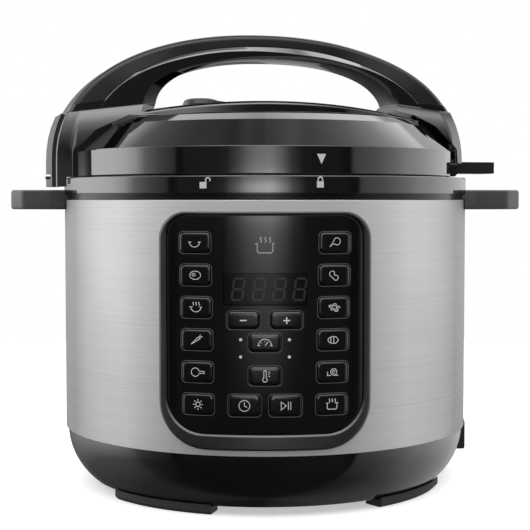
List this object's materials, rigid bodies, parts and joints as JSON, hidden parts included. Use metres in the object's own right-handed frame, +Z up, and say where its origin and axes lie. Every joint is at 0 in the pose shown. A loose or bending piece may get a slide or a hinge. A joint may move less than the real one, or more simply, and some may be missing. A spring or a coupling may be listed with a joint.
{
  "type": "electric pressure cooker",
  "caption": "Countertop electric pressure cooker: brushed steel drum on a black base bowl, curved button panel, side handles, and a turning lid with a tall arched carry handle.",
  "frame": {"origin": "on the vertical axis of the housing, at the plane the feet stand on", "axes": "+Z up; the control panel faces -Y; +X is to the right when facing the panel, through the right side handle"},
  "size_m": [0.3446, 0.2795, 0.3],
  "materials": {
    "gloss_black": "gloss",
    "satin_black": "satin",
    "brushed_steel": "brushed around the body",
    "polished_steel": "polished",
    "silver_plastic": "metallic lacquer",
    "button_black": "gloss",
    "display_window": "high gloss",
    "led_segments": "matte, unlit",
    "foot_rubber": "matte",
    "silicone": "translucent white, satin",
    "clear_plastic": "clear",
    "cast_aluminium": "machined",
    "circuit_board": "solder resist",
    "brass": "plain",
    "plated_steel": "plated sheet"
  },
  "bodies": {
    "housing": {"base_bowl": "gloss_black", "base_plate": "plated_steel", "foot_front_left": "foot_rubber", "foot_front_right": "foot_rubber", "foot_rear_right": "foot_rubber", "foot_rear_left": "foot_rubber", "steel_wrap": "brushed_steel", "upper_ring": "gloss_black", "base_handle_left": "satin_black", "base_handle_right": "satin_black", "outer_pot": "plated_steel", "bayonet_collar": "brushed_steel", "heater_plate": "cast_aluminium", "heater_element": "brushed_steel", "thermostat_spring": "brushed_steel", "power_board": "circuit_board", "control_board": "circuit_board", "power_inlet": "satin_black", "inlet_pins": "brass", "collector_dock": "satin_black", "panel_bezel": "silver_plastic", "panel_face": "gloss_black", "display_window": "display_window", "led_display": "led_segments"},
    "thermostat": {"thermostat_sensor": "cast_aluminium"},
    "pot": {"inner_pot": "polished_steel"},
    "collector": {"collector_cup": "clear_plastic"},
    "lid_seal": {"sealing_ring": "silicone"},
    "lid": {"lid_cover": "gloss_black", "lid_pressure_plate": "polished_steel", "seal_rack": "brushed_steel", "handle_arch": "gloss_black", "handle_cap": "satin_black", "handle_end_cover": "satin_black", "handle_pin": "polished_steel", "lid_stand_fin": "satin_black", "vent_pipe": "polished_steel", "anti_block_shield": "brushed_steel"},
    "steam_valve": {"steam_valve_knob": "satin_black"},
    "float_valve": {"float_valve_pin": "polished_steel"},
    "button_left_1": {"button_left_1": "button_black"},
    "button_left_2": {"button_left_2": "button_black"},
    "button_left_3": {"button_left_3": "button_black"},
    "button_left_4": {"button_left_4": "button_black"},
    "button_left_5": {"button_left_5": "button_black"},
    "button_left_6": {"button_left_6": "button_black"},
    "button_right_1": {"button_right_1": "button_black"},
    "button_right_2": {"button_right_2": "button_black"},
    "button_right_3": {"button_right_3": "button_black"},
    "button_right_4": {"button_right_4": "button_black"},
    "button_right_5": {"button_right_5": "button_black"},
    "button_right_6": {"button_right_6": "button_black"},
    "button_minus": {"button_minus": "button_black"},
    "button_plus": {"button_plus": "button_black"},
    "button_pressure": {"button_pressure": "button_black"},
    "button_temp": {"button_temp": "button_black"},
    "button_delay": {"button_delay": "button_black"},
    "button_start": {"button_start": "button_black"}
  },
  "joints": [
    {"name": "lid_lift", "type": "slide", "parent": "housing", "child": "lid_seal", "axis": [0, 0, 1], "range_m": [0, 0.36]},
    {"name": "lid_turn", "type": "hinge", "parent": "lid_seal", "child": "lid", "pos_m": [0, 0, 0.205], "axis": [0, 0, 1], "range_deg": [-30, 0]},
    {"name": "pot_lift", "type": "slide", "parent": "housing", "child": "pot", "axis": [0, 0, 1], "range_m": [0, 0.18]},
    {"name": "steam_valve_turn", "type": "hinge", "parent": "lid", "child": "steam_valve", "pos_m": [-0.04596, 0.0498, 0.255], "axis": [0, 0, 1], "range_deg": [0, 45]},
    {"name": "float_valve_rise", "type": "slide", "parent": "lid", "child": "float_valve", "axis": [0, 0, 1], "range_m": [0, 0.004]},
    {"name": "thermostat_press", "type": "slide", "parent": "housing", "child": "thermostat", "axis": [0, 0, 1], "range_m": [-0.002, 0], "stiffness_N_per_m": 800, "springref_m": 0.003, "deforming": ["thermostat_spring"]},
    {"name": "collector_slide", "type": "slide", "parent": "housing", "child": "collector", "axis": [0, 1, 0], "range_m": [0, 0.03]},
    {"name": "button_left_1_press", "type": "slide", "parent": "housing", "child": "button_left_1", "axis": [0.304, 0.9527, 0], "range_m": [0, 0.0005], "stiffness_N_per_m": 300, "springref_m": -0.0005},
    {"name": "button_left_2_press", "type": "slide", "parent": "housing", "child": "button_left_2", "axis": [0.3014, 0.9535, 0], "range_m": [0, 0.0005], "stiffness_N_per_m": 300, "springref_m": -0.0005},
    {"name": "button_left_3_press", "type": "slide", "parent": "housing", "child": "button_left_3", "axis": [0.2987, 0.9543, 0], "range_m": [0, 0.0005], "stiffness_N_per_m": 300, "springref_m": -0.0005},
    {"name": "button_left_4_press", "type": "slide", "parent": "housing", "child": "button_left_4", "axis": [0.296, 0.9552, 0], "range_m": [0, 0.0005], "stiffness_N_per_m": 300, "springref_m": -0.0005},
    {"name": "button_left_5_press", "type": "slide", "parent": "housing", "child": "button_left_5", "axis": [0.2934, 0.956, 0], "range_m": [0, 0.0005], "stiffness_N_per_m": 300, "springref_m": -0.0005},
    {"name": "button_left_6_press", "type": "slide", "parent": "housing", "child": "button_left_6", "axis": [0.2907, 0.9568, 0], "range_m": [0, 0.0005], "stiffness_N_per_m": 300, "springref_m": -0.0005},
    {"name": "button_right_1_press", "type": "slide", "parent": "housing", "child": "button_right_1", "axis": [-0.304, 0.9527, 0], "range_m": [0, 0.0005], "stiffness_N_per_m": 300, "springref_m": -0.0005},
    {"name": "button_right_2_press", "type": "slide", "parent": "housing", "child": "button_right_2", "axis": [-0.3014, 0.9535, 0], "range_m": [0, 0.0005], "stiffness_N_per_m": 300, "springref_m": -0.0005},
    {"name": "button_right_3_press", "type": "slide", "parent": "housing", "child": "button_right_3", "axis": [-0.2987, 0.9543, 0], "range_m": [0, 0.0005], "stiffness_N_per_m": 300, "springref_m": -0.0005},
    {"name": "button_right_4_press", "type": "slide", "parent": "housing", "child": "button_right_4", "axis": [-0.296, 0.9552, 0], "range_m": [0, 0.0005], "stiffness_N_per_m": 300, "springref_m": -0.0005},
    {"name": "button_right_5_press", "type": "slide", "parent": "housing", "child": "button_right_5", "axis": [-0.2934, 0.956, 0], "range_m": [0, 0.0005], "stiffness_N_per_m": 300, "springref_m": -0.0005},
    {"name": "button_right_6_press", "type": "slide", "parent": "housing", "child": "button_right_6", "axis": [-0.2907, 0.9568, 0], "range_m": [0, 0.0005], "stiffness_N_per_m": 300, "springref_m": -0.0005},
    {"name": "button_minus_press", "type": "slide", "parent": "housing", "child": "button_minus", "axis": [0.094, 0.9956, 0], "range_m": [0, 0.0005], "stiffness_N_per_m": 300, "springref_m": -0.0005},
    {"name": "button_plus_press", "type": "slide", "parent": "housing", "child": "button_plus", "axis": [-0.094, 0.9956, 0], "range_m": [0, 0.0005], "stiffness_N_per_m": 300, "springref_m": -0.0005},
    {"name": "button_pressure_press", "type": "slide", "parent": "housing", "child": "button_pressure", "axis": [0, 1, 0], "range_m": [0, 0.0005], "stiffness_N_per_m": 300, "springref_m": -0.0005},
    {"name": "button_temp_press", "type": "slide", "parent": "housing", "child": "button_temp", "axis": [0, 1, 0], "range_m": [0, 0.0005], "stiffness_N_per_m": 300, "springref_m": -0.0005},
    {"name": "button_delay_press", "type": "slide", "parent": "housing", "child": "button_delay", "axis": [0.0896, 0.996, 0], "range_m": [0, 0.0005], "stiffness_N_per_m": 300, "springref_m": -0.0005},
    {"name": "button_start_press", "type": "slide", "parent": "housing", "child": "button_start", "axis": [-0.0896, 0.996, 0], "range_m": [0, 0.0005], "stiffness_N_per_m": 300, "springref_m": -0.0005}
  ],
  "couplings": [
    {"joint": "pot_lift", "follows": "lid_lift", "ratio": 0.5}
  ]
}
